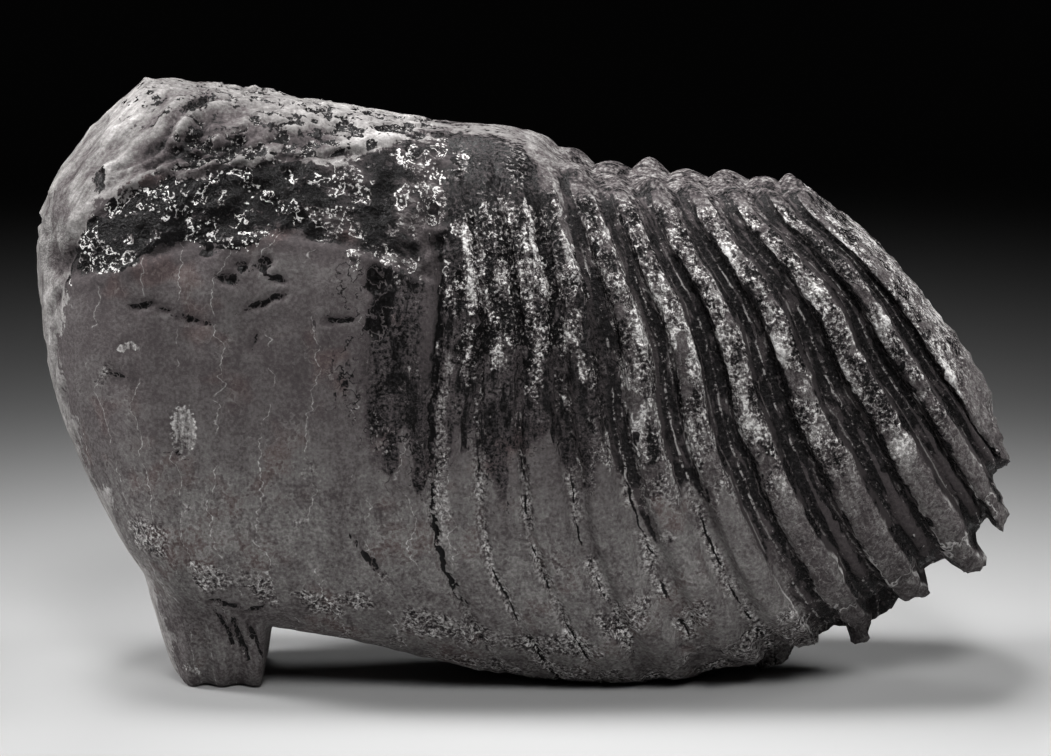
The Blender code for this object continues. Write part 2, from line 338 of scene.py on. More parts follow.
CRINKLES = (
    (-94.8, 44.1, 6.5, 4.5, -30),
    (-81.0, 35.0, 5.2, 2.8, -35),
    (-68.4, 32.4, 5.5, 3.0, -35),
    (-53.3, 27.7, 6.5, 2.2, -25),
    (-43.0, 27.5, 6.0, 2.0, -20),
    (-17.9, 19.3, 11.0, 3.5, -15),
    (8.0, 15.0, 10.0, 3.0, -8),
    (23.9, 22.0, 6.0, 6.0, -55),
    (44.2, 24.6, 6.0, 3.5, 10),
)
DENTS = (
    (-79.0, 143.2, 13.0, 4.2, 14),
    (-56.0, 145.0, 9.0, 2.6, -4),
)
MILLIMETRE = 0.001
FAR_MARKS = 24
FAR_MARK_SEED = 11
MARK_BEND = 0.0011
MARK_BEND_SIZE = 0.0030
MARK_FADE = 4.0
PEAK_EASE = 0.0005
PEAK_LOW = 0.151
CROWN_TOP = 0.158
PLATE_PITCH = 0.0127
CROWN_HEIGHT = 0.140
ZONE_EDGE = (-0.001, 0.002)

# Where each zone comes in and goes out along the crown, in plates.
SEAM_PLATES = ((6.7, 7.3), (13.6, 12.6))
GLITTER_PLATES = ((6.3, 8.4), (11.6, 9.4))
MOTTLE_PLATES = ((4.6, 7.0), (12.2, 9.8))
DUSK_PLATES = ((5.8, 7.0), (11.0, 9.8))
RIB_START = (9.2, 10.8)
FLECK_START = (9.0, 10.0)
FOOT_START = (9.0, 12.5)
LAST_SLAB = (17.1, 17.6)
TONGUE_START = (12.6, 13.4)
FACET_END = (4.6, 2.8)

# Worn skin: at the front end, on the tips, and in a strand that runs on down each crest.
FRONT_SKIN_PLATES = 0.5
SKIN_FADE = 0.010
TIP_REACH = 0.036
STRAND_REACH = 0.060
STRAND_PLACE = 0.79
STRAND_EDGE = (0.12, 0.03)
STRAND_START = (9.6, 10.6)

# Sizes of the noises that set the zones and shape the relief, along three axes or one.
CLUSTER_SIZES = (0.0042, 0.0120, 0.0080)
STREAKY_SIZES = (0.004, 0.030, 0.02)
HOLE_SIZES = (0.0040, 0.0046, 0.0026)
CLOUD_SIZE = 0.0085
PATCH_SIZE = 0.011
STAIN_SIZES = (0.017, 0.0048)
ROUGH_SIZE = 0.0045
SWELL_SIZE = 0.016
CRUST_SIZE = 0.0026
GLITTER_SIZE = 0.0032
FLAKE_SIZE = 0.0062
CRINKLE_SIZE = 0.0036
POCK_SIZE = 0.0075
SPLIT_SIZE = 0.009
FOOT_SIZE = 0.0058

# The folds of the worn front lean back and stray a little.
FOLD_RISE = 0.66
FOLD_RUN = 0.75
FOLD_STRAY = 0.005
FOLD_STRAY_SIZE = 0.018


def far_marks():
    """Chips scattered over the far wall, in the same form as CHIPS."""
    chance = random.Random(FAR_MARK_SEED)
    marks = []
    for _ in range(FAR_MARKS):
        middle = (chance.uniform(-105.0, 20.0), chance.uniform(30.0, 118.0))
        length = chance.uniform(1.5, 6.0)
        marks.append((*middle, length, chance.uniform(0.2, 0.5) * length, chance.uniform(-60.0, 30.0)))
    return marks


def prepared(marks):
    """The marks in metres, with the cosine and sine of their lean in place of it."""
    ready = []
    for *lengths, lean in marks:
        x, z, length, height = [each * MILLIMETRE for each in lengths]
        turn = math.radians(lean)
        ready.append(((x, z), length, height, math.cos(turn), math.sin(turn)))
    return ready


def mark_share(marks, point):
    """1 at the middle of a mark, 0.75 on its edge and 0 at four times its size."""
    nearest = MARK_FADE
    for (x, z), length, height, cosine, sine in marks:
        right, up = point.x - x, point.z - z
        if abs(right) + abs(up) < 1.5 * MARK_FADE * max(length, height):
            along_it = (cosine * right + sine * up) / length
            across_it = (cosine * up - sine * right) / height
            nearest = min(nearest, math.hypot(along_it, across_it))
    return 1.0 - nearest / MARK_FADE


def span(rise, fall, at):
    """A share that comes in over one range and goes out over another."""
    return eased(*rise, at) * eased(*fall, at)


def in_sizes(place, sizes):
    """A place counted in a size of its own along each axis."""
    return Vector([part / size for part, size in zip(place, sizes)])


class Zones:
    """What the skin is like at one point: each share runs from 0 to 1, each height is in metres."""

    def __init__(self, form, plate, level, point, marks):
        bent = point + MARK_BEND * noise.noise_vector(point / MARK_BEND_SIZE)
        near = point.y < 0.0
        side = abs(point.y)
        self.skin_place = (plate * PLATE_PITCH, level * CROWN_HEIGHT, point.y)
        self.cloud = noise.fractal(point / CLOUD_SIZE, 1.0, 2.1, 3)
        self.cluster = noise.fractal(in_sizes(self.skin_place, CLUSTER_SIZES), 0.9, 2.1, 3)
        self.streaky = noise.noise(in_sizes(self.skin_place, STREAKY_SIZES))
        strand = eased(*STRAND_EDGE, abs(plate % 1.0 - STRAND_PLACE)) * eased(*STRAND_START, plate)
        tips = (TIP_REACH + STRAND_REACH * strand - level) * CROWN_HEIGHT
        tips -= SKIN_FADE * eased(10.5, 9.5, plate)
        front_skin = SKIN_FADE * (FRONT_SKIN_PLATES - plate)
        self.worn_height = max(point.z - along(WORN_EDGE, point.x), front_skin, tips)
        above_band = point.z - along(BAND_FOOT, point.x)
        under_band = along(BAND_TOP, point.x) - point.z
        self.band_place = (point.x, above_band, point.y)
        self.band_height = min(above_band, under_band, 0.8 * (BAND_BACK_X[1] - point.x))

        frayed = level + 0.10 * self.cloud + 0.16 * self.streaky
        foot_fade = 1.0 - 0.95 * eased(0.50, 0.66, frayed) * eased(13.4, 12.4, plate)
        self.ribbed = eased(*RIB_START, plate) * foot_fade
        self.seamed = span(*SEAM_PLATES, plate) * eased(0.40, 0.60, level)
        self.foot = eased(0.84, 0.93, level) * eased(*FOOT_START, plate)
        reach = level - 0.022 * max(plate - 12.0, 0.0)
        self.flecked = eased(*FLECK_START, plate) * eased(0.64, 0.48, reach) * eased(0.035, 0.07, level)
        self.glittered = span(*GLITTER_PLATES, plate)
        self.glittered *= eased(0.52, 0.20, level) * eased(0.035, 0.12, level)
        self.mottled = span(*MOTTLE_PLATES, plate)
        self.mottled *= eased(0.10, 0.26, level) * eased(0.68, 0.40, frayed)
        self.dusky = span(*DUSK_PLATES, plate) * eased(0.26, 0.14, level)
        self.stain = noise.noise(point / STAIN_SIZES[0]) + 0.6 * noise.noise(point / STAIN_SIZES[1])
        self.stain -= max(self.ribbed, self.glittered, self.dusky)
        self.chipped = mark_share(marks[0 if near else 1], bent)
        self.scarred = mark_share(marks[2], bent) if near else 0.0
        crinkled = eased(0.45, 0.95, mark_share(marks[3], bent)) if near else 0.0
        underside = 0.7 * eased(0.90, 0.97, level) * eased(4.0, 6.0, plate)
        self.crinkled = max(crinkled, 0.9 * self.foot, underside, eased(*LAST_SLAB, plate))
        self.dent = eased(0.45, 0.95, mark_share(marks[4], point))

        self.worn = eased(*ZONE_EDGE, self.worn_height)
        self.band = eased(*ZONE_EDGE, self.band_height)
        self.lip = eased(0.0030, 0.0004, abs(under_band + 0.0018))
        self.lip *= eased(BAND_BACK_X[1], BAND_BACK_X[0], point.x)
        self.lip *= eased(0.012, 0.024, side) * eased(-0.106, -0.094, point.x)

        patch = eased(-0.50, -0.10, noise.noise(point / PATCH_SIZE)) * eased(9.8, 6.5, plate)
        hole = noise.fractal(in_sizes(point, HOLE_SIZES), 0.7, 2.2, 2)
        self.pitted = self.worn * patch * eased(0.8, 2.6, plate) * eased(0.118, 0.132, point.z)
        self.pitted *= eased(-0.05, 0.20, hole)
        rough = max(self.flecked, 0.8 * self.glittered, 0.9 * self.band, 0.8 * self.crinkled)
        rough = max(rough, 0.42 * self.worn, 0.35 * self.mottled, 0.46 * self.ribbed, 0.20)
        self.grain_height = form.grain_height * rough
        self.height = 0.0


STORED_ZONES = (
    "cloud", "cluster", "streaky", "stain", "dusky", "worn_height", "band_height", "ribbed", "seamed",
    "flecked", "glittered", "mottled", "chipped", "scarred", "crinkled", "pitted", "grain_height", "height",
)


def relief(form, plate, level, point, zones):
    """How far the fine relief lifts the skin at this point, in metres. It is mostly inwards."""
    off_groove = abs(plate - round(plate))
    on_rib = eased(0.22, 0.34, off_groove + 0.10 * zones.cloud)
    rough = noise.fractal(point / ROUGH_SIZE, 1.0, 2.1, 3)
    lift = form.fine_relief * (0.20 * rough + 0.40 * noise.noise(point / SWELL_SIZE))

    crust = zones.ribbed * on_rib * (0.5 + noise.fractal(point / CRUST_SIZE, 0.8, 2.0, 3))
    lift += form.crust_height * crust * eased(0.03, 0.08, level)
    lift += form.crust_height * 1.1 * zones.glittered * noise.fractal(point / GLITTER_SIZE, 0.8, 2.0, 3)
    tongue = eased(0.58, 0.66, level) * eased(0.95, 0.88, level) * eased(*TONGUE_START, plate)
    lift += form.tongue_height * tongue * eased(0.13, 0.07, off_groove)
    flakes = noise.ridged_multi_fractal(point / FLAKE_SIZE, 0.9, 2.1, 3, 1.0, 2.0)
    lift += form.flake_height * zones.band * (0.8 * flakes - 1.1)
    lift += form.lip_height * zones.lip * (0.8 + 0.5 * zones.cloud)

    side = abs(point.y)
    backwards = point.x + 0.7 * side
    stray = FOLD_STRAY * noise.noise(point / FOLD_STRAY_SIZE)
    across_folds = FOLD_RUN * point.z - FOLD_RISE * backwards + stray
    along_folds = 0.22 * (FOLD_RISE * point.z + FOLD_RUN * backwards)
    fold_place = Vector((across_folds / form.fold_pitch, along_folds / form.fold_pitch, 30.0 * point.y))
    facet = zones.worn * eased(*FACET_END, plate) * eased(0.050, 0.090, point.z)
    facet *= 0.4 + 0.6 * eased(0.004, 0.020, side)
    folds = abs(noise.noise(fold_place)) + 0.5 * abs(noise.noise(2.3 * fold_place))
    lift += form.fold_height * facet * (0.5 - 2.2 * folds)

    lift -= form.dent_depth * zones.dent * (1.0 + 0.5 * noise.noise(point / ROUGH_SIZE))
    lift -= form.pit_depth * eased(0.0, 0.6, zones.pitted)
    lift += form.pit_depth * 0.5 * zones.worn * eased(3.0, 5.0, plate) * noise.noise(point / POCK_SIZE)

    lift -= form.chip_depth * eased(0.68, 0.84, zones.chipped)
    lift -= 0.4 * form.chip_depth * eased(0.68, 0.84, zones.scarred)
    lift += form.crust_height * zones.crinkled * noise.fractal(point / CRINKLE_SIZE, 0.9, 2.0, 3)
    split = eased(0.05, 0.0, off_groove) * zones.seamed * eased(0.10, 0.35, noise.noise(point / SPLIT_SIZE))
    lift -= form.chip_depth * split
    lift += form.foot_height * zones.foot * (noise.noise(point / FOOT_SIZE) - 0.4)
    return lift - PEAK_EASE * eased(PEAK_LOW, CROWN_TOP, point.z)


def tooth_skin(form):
    """The closed skin of the tooth, with its zones stored on its points."""
    noise.seed_set(LUMP_SEED)
    plates = station_plates()
    turns = ring_turns(form.crown_half_width)
    rings = [Ring(form, plate) for plate in plates]
    columns = len(plates) - 1
    skin = bmesh.new()
    bmesh.ops.create_grid(skin, x_segments=columns, y_segments=RING_POINTS, size=0.5)
    plate_of = skin.verts.layers.float.new("plate")
    level_of = skin.verts.layers.float.new("level")
    for vert in skin.verts:
        ring = rings[round((vert.co.x + 0.5) * columns)]
        turn = turns[round((vert.co.y + 0.5) * RING_POINTS)]
        vert.co, vert[level_of], vert[plate_of] = skin_point(form, ring, turn)
    bmesh.ops.remove_doubles(skin, verts=skin.verts, dist=WELD_DISTANCE)
    bmesh.ops.recalc_face_normals(skin, faces=skin.faces)
    skin.normal_update()

    place_of = skin.verts.layers.float_vector.new("skin_place")
    band_place_of = skin.verts.layers.float_vector.new("band_place")
    layers = {name: skin.verts.layers.float.new(name) for name in STORED_ZONES}
    marks = [prepared(each) for each in (CHIPS, far_marks(), SCARS, CRINKLES, DENTS)]
    lifts = []
    for vert in skin.verts:
        plate, level = vert[plate_of], vert[level_of]
        zones = Zones(form, plate, level, vert.co, marks)
        lift = relief(form, plate, level, vert.co, zones)
        zones.height = lift / form.flake_height
        vert[place_of] = zones.skin_place
        vert[band_place_of] = zones.band_place
        for name, layer in layers.items():
            vert[layer] = getattr(zones, name)
        lifts.append(lift * vert.normal)
    for vert, lift in zip(skin.verts, lifts):
        vert.co += lift
        vert.co.x += GUIDE_SHIFT
        vert.co.z = max(vert.co.z, 0.0)
        for axis in range(3):
            vert.co[axis] = min(max(vert.co[axis], TOOTH_LOW[axis]), TOOTH_HIGH[axis])
    mesh = bpy.data.meshes.new("tooth_skin")
    skin.to_mesh(mesh)
    skin.free()
    mesh.shade_smooth()
    return mesh


# ---- materials as expressions


class Value:
    """A number that changes over the surface. Arithmetic on it adds Math nodes."""

    def __init__(self, finish, socket):
        self.finish = finish
        self.socket = socket

    def math(self, operation, first, second=0.0):
        node = self.finish.node("ShaderNodeMath", {"operation": operation}, {0: first, 1: second})
        return Value(self.finish, node.outputs[0])

    def __add__(self, other):
        return self.math("ADD", self, other)

    def __sub__(self, other):
        return self.math("SUBTRACT", self, other)

    def __rsub__(self, other):
        return self.math("SUBTRACT", other, self)

    def __mul__(self, other):
        return self.math("MULTIPLY", self, other)

    __radd__ = __add__
    __rmul__ = __mul__

    def __abs__(self):
        return self.math("ABSOLUTE", self)

    def fraction(self):
        return self.math("FRACT", self)

    def least(self, other):
        return self.math("MINIMUM", self, other)

    def most(self, other):
        return self.math("MAXIMUM", self, other)

    def toward(self, other, share):
        """This number, moved by this share of the way to another."""
        sockets = {0: share, 2: self, 3: other}
        node = self.finish.node("ShaderNodeMix", {"data_type": "FLOAT"}, sockets)
        return Value(self.finish, node.outputs[0])

    def between(self, low, high):
        """0 at low, 1 at high and a smooth climb between them. It falls where high is below low."""
        sockets = {"Value": self, "From Min": low, "From Max": high}
        node = self.finish.node("ShaderNodeMapRange", {"interpolation_type": "SMOOTHSTEP"}, sockets)
        return Value(self.finish, node.outputs["Result"])


class Finish:
    """A material under construction, with one Principled shader."""

    def __init__(self, name):
        self.material = bpy.data.materials.new(name)
        self.material.use_nodes = True
        self.tree = self.material.node_tree
        self.shader = self.tree.nodes["Principled BSDF"]

    def node(self, kind, settings, sockets):
        """A node of this kind, with its settings made first and then its sockets' values or links."""
        node = self.tree.nodes.new(kind)
        for name, setting in settings.items():
            setattr(node, name, setting)
        for key, value in sockets.items():
            self.feed(node.inputs[key], value)
        return node

    def feed(self, socket, value):
        """Gives a socket a value, or links a changing one to it."""
        if isinstance(value, Value):
            value = value.socket
        if isinstance(value, bpy.types.NodeSocket):
            self.tree.links.new(value, socket)
        elif isinstance(socket.default_value, float):
            socket.default_value = value
        else:
            room = len(socket.default_value)
            socket.default_value = (tuple(value) + (1.0,))[:room]

    def object_place(self):
        return self.node("ShaderNodeTexCoord", {}, {}).outputs["Object"]

    def stored(self, name):
        """A number stored on the mesh's points."""
        return Value(self, self.node("ShaderNodeAttribute", {"attribute_name": name}, {}).outputs["Fac"])

    def stored_place(self, name):
        """A place stored on the mesh's points."""
        return self.node("ShaderNodeAttribute", {"attribute_name": name}, {}).outputs["Vector"]

    def part_of(self, vector, axis):
        return Value(self, self.node("ShaderNodeSeparateXYZ", {}, {"Vector": vector}).outputs[axis])

    def times(self, vector, other):
        """A place or a colour, multiplied part by part with another."""
        sockets = {0: vector, 1: other}
        return self.node("ShaderNodeVectorMath", {"operation": "MULTIPLY"}, sockets).outputs["Vector"]

    def noise(self, vector, size, detail, roughness):
        """Cloudy noise around a half, with features about this size in metres."""
        sockets = {"Vector": vector, "Scale": 1.0 / size, "Detail": detail, "Roughness": roughness}
        return Value(self, self.node("ShaderNodeTexNoise", {}, sockets).outputs["Fac"])

    def graded(self, tone, stops):
        """The colour of each tone, from (tone, colour) stops."""
        node = self.node("ShaderNodeValToRGB", {}, {0: tone})
        elements = node.color_ramp.elements
        while len(elements) < len(stops):
            elements.new(1.0)
        for element, (place, shade) in zip(elements, stops):
            element.position = place
            element.color = (*shade, 1.0)
        return node.outputs["Color"]

    def mix(self, share, first, second):
        """A colour between two others."""
        sockets = {0: share, 6: first, 7: second}
        return self.node("ShaderNodeMix", {"data_type": "RGBA"}, sockets).outputs[2]

    def bump(self, height):
        """The normal that this height in metres gives."""
        sockets = {"Height": height, "Distance": 1.0, "Strength": 1.0}
        return self.node("ShaderNodeBump", {}, sockets).outputs["Normal"]

    def shade(self, name, value):
        self.feed(self.shader.inputs[name], value)


# ---- the fossil finish

GRAIN_SIZE = 0.0009
FINE_SIZE = 0.0036
STREAK_SIZE = 0.0022
WANDER_SIZE = 0.016
FLOW_SIZE = 0.0030
LONG_CRACK_PLATE = 7.0
LEDGE_LEVEL = 0.905
SPLIT_TONE = 0.05
CRACK_TONE = 0.04
# The thread tone is a painted highlight in each groove.
HIGHLIGHT_THREAD_TONE = 0.62
SCAR_TONE = 0.48
SPECULAR_LEVEL = 0.08
CEMENT_ROUGHNESS = 0.84
GLAZE_ROUGHNESS = 0.15
WORN_ROUGHNESS = 0.92


def fossil_finish(look):
    """Charcoal cement and enamel. One tone, from black glaze to bright flecks and painted glints, picks the
    colour.
    """
    skin = Finish("fossil_enamel")
    spot = skin.object_place()
    place = skin.stored_place("skin_place")
    band_place = skin.stored_place("band_place")
    plate, level, height, crinkled = map(skin.stored, ("plate", "level", "height", "crinkled"))
    cloud, cluster, streaky, stain = map(skin.stored, ("cloud", "cluster", "streaky", "stain"))
    ribbed, seamed, flecked, mottled = map(skin.stored, ("ribbed", "seamed", "flecked", "mottled"))

    grain = skin.noise(spot, GRAIN_SIZE, 3.0, 0.68) - 0.5
    fine = skin.noise(spot, FINE_SIZE, 2.0, 0.5) - 0.5
    streak = skin.noise(skin.times(place, (1.0, 0.2, 0.6)), STREAK_SIZE, 3.0, 0.62) - 0.5
    wander = skin.noise(skin.times(place, (0.5, 1.0, 0.5)), WANDER_SIZE, 4.0, 0.6) - 0.5
    flow = skin.noise(skin.times(band_place, (0.35, 1.0, 0.8)), FLOW_SIZE, 3.0, 0.6) - 0.5
    spark = grain.between(0.05, 0.12)
    patchy = cloud + fine
    ragged = cloud * 0.004 + fine * 0.007 + grain * 0.004
    filament = abs(fine + streak * 0.4 + grain * 0.12).between(0.036, 0.008)

    # The smooth wall, with pale hairlines: rougher towards the plates' feet, and darker low on the root,
    # which is painted shade.
    # height * 0.10 paints the wall darker in the relief's hollows and paler on its rises: painted shade and
    # highlight.
    tone = grain * 0.26 + fine * 0.07 + wander * 0.12 + cloud * 0.03 + height * 0.10 + look.wall_tone
    veined = (stain + cluster * 0.6 + level.between(0.2, 0.8) * 0.4).between(0.15, 0.55)
    tone = tone + filament * veined * 0.06
    across_lines = (plate * 1.3 + wander * 1.8).fraction()
    hairline = abs(across_lines - 0.5).between(0.018, 0.005) * (stain + fine * 1.5).between(-0.25, 0.10)
    tone = tone + hairline * plate.between(9.0, 7.0) * (0.16 + grain * 0.6)
    tone = tone + level.between(0.45, 0.75) * (0.062 + fine * 0.08 + grain * 0.22 + streak * 0.24)
    band_height = skin.stored("band_height")
    tone = tone - band_height.between(-0.0060, -0.0005) * 0.06
    crazed = (crinkled + cloud * 0.5 + cluster * 0.4).between(0.35, 0.80)
    tone = tone + crazed * (grain * 1.3 + filament * 0.16 - 0.03)
    # Painted shade: the wall darkens low on the front root.
    tone = tone - skin.part_of(spot, "Z").between(0.034, 0.016) * plate.between(6.0, 4.0) * 0.05

    # Seams between the smooth plates: a broken dark crack with a rough, paler fringe.
    part = (plate + streak * 0.10 + fine * 0.12).fraction()
    off_groove = part.least(1.0 - part) + plate.between(17.4, 17.6) * 0.5
    fringe = off_groove.between(0.20, 0.03) * seamed * (cluster + cloud).between(-0.55, 0.15)
    tone = tone + fringe * (grain * 1.5 + 0.05)
    broken = (streak + cloud * 0.15).between(0.0, 0.06)
    split = (off_groove + grain * 0.08).between(0.034, 0.014) * broken * seamed
    tone = tone.toward(SPLIT_TONE, split)

    # Ribs: rough pale crests with ragged edges over black glaze, with a bright thread in each groove, a
    # painted highlight along its floor.
    wavy = cloud * 0.05 + streak * 0.16 + fine * 0.12
    reach = off_groove + wavy + level.between(0.60, 0.90) * 0.03 + plate.between(14.5, 9.8) * 0.14
    crest = reach.between(0.285, 0.315)
    rough = grain * 1.6 + spark * 0.20 + filament * 0.24 + cluster * 0.50 + streak * 0.6
    rough = rough + look.rib_tone - 0.05 - level.between(0.32, 0.12) * plate.between(11.0, 13.5) * 0.09
    crackle = abs(fine + grain * 0.1).between(0.016, 0.004) * 0.12
    smooth = grain * 0.6 + streak * 0.3 + cloud * 0.05 + crackle + 0.33
    rib = smooth.toward(rough, flecked * patchy.between(-0.50, -0.25))
    glaze = grain * 0.30 + grain.between(0.13, 0.18) * 0.30 + look.black_tone + 0.05
    glaze = glaze + streak.between(-0.03, 0.09) * patchy.between(-0.30, 0.20) * 0.15
    strand = part.between(0.68, 0.72) * reach.between(0.19, 0.24) * patchy.between(-0.30, 0.10)
    glaze = glaze.toward(0.22, strand)
    rim = abs(off_groove + wavy * 0.5 - 0.185).between(0.018, 0.006)
    glaze = glaze + rim * (streak + grain * 0.5).between(-0.06, 0.08) * 0.20
    highlight_thread = off_groove.between(0.030, 0.010) * (streak * 1.2 + grain * 1.2).between(-0.10, 0.10)
    glaze = glaze.toward(HIGHLIGHT_THREAD_TONE, highlight_thread * level.between(0.10, 0.2))
    tongue_foot = (level + fine * 0.4 + streak * 0.2).between(0.875, 0.865)
    tongue_width = (level + fine * 0.3).between(0.54, 0.84) * tongue_foot * 0.10
    tongue = (off_groove + streak * 0.10 + fine * 0.24 - tongue_width).between(0.010, -0.006)
    glaze = glaze.toward(grain * 0.3 + 0.25, tongue * plate.between(12.8, 13.2))
    ribs = glaze.toward(rib, crest)
    tone = tone.toward(ribs, (ribbed + streak * 0.5 + cloud * 0.2).between(0.40, 0.60))
    ledge = abs(level + cluster * 0.035 + fine * 0.10 - LEDGE_LEVEL).between(0.0060, 0.0015)
    ledge = ledge * off_groove.between(0.16, 0.22)
    margin = abs(reach - 0.325).between(0.022, 0.004) * level.between(0.72, 0.84)
    tone = tone + ledge.most(margin * patchy.between(-0.2, 0.2)) * plate.between(12.0, 13.0) * 0.30

    # Dark, streaky mottling round the first ribs, and the bright flecked zone above it, whose bright flecks
    # are painted glints.
    dusk_tone = grain * 0.9 + fine * 0.15 + mottled * 0.11 + crackle * 0.8 + 0.105
    dusk_tone = dusk_tone + spark * (cluster + cloud).between(0.05, 0.45) * 0.28
    dusk = skin.stored("dusky").most(mottled.between(0.18, 0.85) * 0.90) + streak * 0.5 + cloud * 0.2
    tone = tone.toward(dusk_tone, dusk.between(0.30, 0.70))
    blot = mottled * 0.50 + streak * 1.2 + streaky * 0.30 + cloud * 0.30 + fine * 0.8 + grain * 0.25
    blot = blot.between(0.44, 0.54) * mottled.between(0.0, 0.15)
    dashes = (streak + cloud * 0.3 + grain * 1.5).between(-0.02, 0.06)
    wriggle = filament * mottled.between(0.10, 0.30) * dashes
    tone = tone.toward(grain * 0.6 + 0.09, wriggle.most(blot))
    glittered = skin.stored("glittered")
    # Painted glints: the bright flecks of the glittered zone.
    glint = grain * 2.0 + spark * 0.22 + filament * 0.26 + cluster * 0.50 + streaky * 0.40
    glint = glint + streak * 0.6 + 0.17
    patches = glittered * 0.8 + cloud * 0.35 + cluster * 0.25 + fine + streak * 0.4
    tone = tone.toward(glint, patches.between(0.34, 0.48) * glittered.between(0.02, 0.20))

    # The long crack behind the smooth plates, with its pale side.
    crack_side = plate + streak * 0.20 + fine * 0.40 + cloud * 0.06 + grain * 0.05 - LONG_CRACK_PLATE
    in_crack = (abs(crack_side) + fine * 0.14 + cluster * 0.05 + grain * 0.14).between(0.038, 0.020)
    in_crack = in_crack * level.between(0.88, 0.78) * level.between(0.10, 0.20)
    beside = crack_side.between(0.05, 0.10) * crack_side.between(0.36, 0.24)
    beside = beside * level.between(0.28, 0.40) * level.between(0.78, 0.62)
    tone = tone + beside * (grain * 0.9 + 0.13)
    tone = tone.toward(CRACK_TONE, in_crack)

    # The flaked band: black glaze with clusters of bright flecks and curls along it, which are painted
    # highlights on its glossy flakes.
    rear = skin.part_of(band_place, "X").between(-0.062, -0.040)
    highlight_curl = abs(fine + flow * 0.4 - 0.03).between(0.030, 0.009) * (grain + streak).between(-0.04, 0.03)
    glow = spark * (fine + flow * 0.5).between(-0.03, 0.06)
    lit = (cloud * 0.7 + cluster * 0.3 + flow * 0.8 - rear * 0.08).between(-0.27, -0.01)
    flakes = highlight_curl.most(glow) * lit * (0.80 + cluster * 0.5 - rear * 0.30) + flow.between(0.09, 0.13) * 0.10
    flakes = flakes + rear * (flow * 0.5 + cloud * 0.2 + 0.09)
    # height * 0.06 paints the band's hollows darker: painted shade.
    flakes = flakes + grain * 0.3 + height * 0.06 + look.black_tone
    band = (band_height + ragged + cloud * 0.003).between(-0.0003, 0.0003)
    tone = tone.toward(flakes, band)

    # A clean strip of cement runs down in front of the crack.
    strip = crack_side.between(-0.42, -0.28) * crack_side.between(-0.02, -0.09)
    strip = strip * level.between(0.46, 0.34) * level.between(0.09, 0.15)
    strip = strip * patchy.between(-0.45, -0.25)
    tone = tone.toward(grain * 0.34 + streak * 0.25 + 0.24, strip)

    # Chips are black and glassy, scars are pale and rough.
    chip = (skin.stored("chipped") + grain * 0.30 + fine * 0.50 + streak * 0.2).between(0.70, 0.74)
    tone = tone.toward(filament * 0.22 + grain * 0.5 + look.black_tone, chip)
    scar = (skin.stored("scarred") + grain * 0.25 + fine * 0.25).between(0.70, 0.76)
    tone = tone.toward(grain + streak * 1.4 + SCAR_TONE, scar)

    # Dull worn skin over the top and the front end, paler than the wall: partly real wear and partly painted
    # light where the lamps fall on the top and the front end. It has pale ridges and dark hollows, which are
    # painted highlight and painted shade, and glassy pits.
    worn_height = skin.stored("worn_height")
    worn = (worn_height + ragged * (1.0 - plate.between(6.0, 7.5) * 0.7)).between(-0.0005, 0.0006)
    pitted = skin.stored("pitted") + grain * 0.6 + fine * 0.4
    # height * 0.18 paints the worn skin darker in its hollows and paler on its ridges: painted shade and
    # highlight.
    dull_and_lit = grain * 0.34 + fine * 0.12 + cloud * 0.05 + height * 0.18 + streak * 0.20 + flow * 0.28
    dull_and_lit = dull_and_lit + look.worn_and_lit_tone
    # Painted light: the front end, and the worn top behind the fourth plate, are made paler still.
    dull_and_lit = dull_and_lit + plate.between(1.6, 0.4) * (0.05 + streak * 0.3) + plate.between(2.0, 4.0) * 0.03
    dull_and_lit = dull_and_lit - worn_height.between(0.0030, 0.0) * plate.between(5.5, 8.0) * 0.12
    dull_and_lit = dull_and_lit - plate.between(9.5, 12.0) * (0.210 - fine * 0.7 - grain * 0.7)
    dull_and_lit = dull_and_lit + pitted.between(0.20, 0.30) * 0.06
    # Painted light: the very top, ahead of the eleventh plate, is a little paler.
    on_top = level.between(0.10, 0.05) * plate.between(11.0, 9.0)
    dull_and_lit = dull_and_lit + on_top * 0.03
    pecks = (fine + flow * 0.6 + grain * 0.4).between(-0.12, -0.16) * on_top
    dull_and_lit = dull_and_lit.toward(spark * 0.50 + look.black_tone, pitted.between(0.36, 0.46).most(pecks))
    tone = tone.toward(dull_and_lit, worn * (1.0 - chip))

    stops = (
        (0.0, look.pit_colour),
        (0.12, look.black_colour),
        (0.30, look.wall_colour),
        (0.42, look.rib_colour),
        (0.55, look.worn_and_lit_colour),
        (0.85, look.fleck_and_glint_colour),
    )
    colour = skin.graded(tone, stops)
    reddened = stain.between(0.10, 0.60) * tone.between(0.15, 0.26) * tone.between(0.46, 0.34) * (1.0 - worn)
    skin.shade("Base Color", skin.mix(reddened, colour, skin.times(colour, look.stain)))
    skin.shade("Specular IOR Level", SPECULAR_LEVEL)

    gloss = tone.between(0.17, 0.10)
    roughness = (fine * 0.16 + CEMENT_ROUGHNESS).toward(GLAZE_ROUGHNESS, gloss)
    skin.shade("Roughness", roughness.toward(WORN_ROUGHNESS, worn * (1.0 - gloss)))
    skin.shade("Normal", skin.bump(skin.stored("grain_height") * (grain + streak * 0.6)))
    return skin.material


# ---- settings, operators and panel


def length(name, description, default):
    """A length that a user can change."""
    return bpy.props.FloatProperty(
        name=name, description=description, default=default, unit="LENGTH", precision=5
    )


def share(name, description, default):
    """A share, from 0 to 1, that a user can change."""
    return bpy.props.FloatProperty(name=name, description=description, default=default, min=0.0, max=1.0)


def colour(name, description, default):
    """A linear colour that a user can change."""
    return bpy.props.FloatVectorProperty(
        name=name, description=description, default=default, subtype="COLOR", size=3, min=0.0, max=1.0
    )


